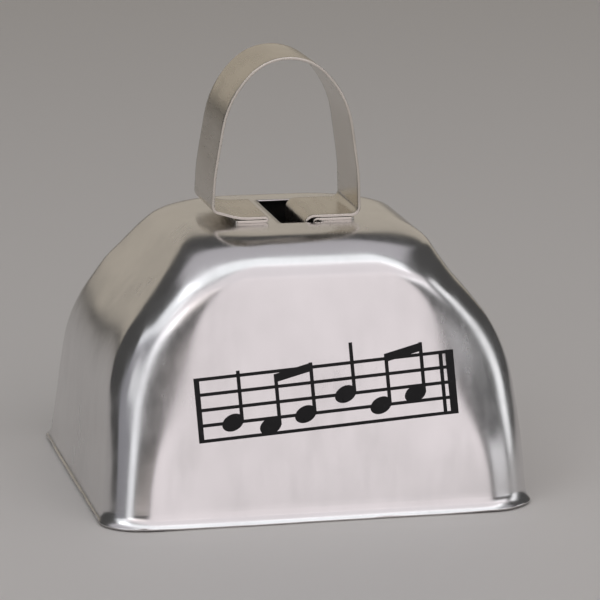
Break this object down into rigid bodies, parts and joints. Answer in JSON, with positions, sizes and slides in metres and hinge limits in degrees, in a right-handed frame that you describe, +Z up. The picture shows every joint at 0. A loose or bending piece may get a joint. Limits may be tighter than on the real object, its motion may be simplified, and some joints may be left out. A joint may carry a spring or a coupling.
{
  "type": "cowbell",
  "caption": "Small hand cowbell: a tapered, rounded sheet-steel bell with a flared mouth, an arched strap handle on its crown and a wire-hung ball clapper that swings inside.",
  "frame": {"origin": "centre of the mouth, on the plane that the rim stands on", "axes": "+Z up through the crown and handle, +X along the broad side, -Y out of the printed front"},
  "size_m": [0.0764, 0.0642, 0.0753],
  "materials": {
    "shell_metal": "polished",
    "strap_metal": "polished",
    "clapper_wire_metal": "satin",
    "clapper_ball_metal": "polished",
    "black_print": "glossy"
  },
  "bodies": {
    "root": {"bell_shell": "shell_metal", "handle_strap": "strap_metal", "printed_emblem": "black_print"},
    "clapper": {"clapper_wire": "clapper_wire_metal", "clapper_ball": "clapper_ball_metal"}
  },
  "joints": [
    {"name": "clapper_swing", "type": "hinge", "parent": "root", "child": "clapper", "pos_m": [0.00278, 0, 0.041], "axis": [0, 1, 0], "range_deg": [-54, 64]}
  ]
}
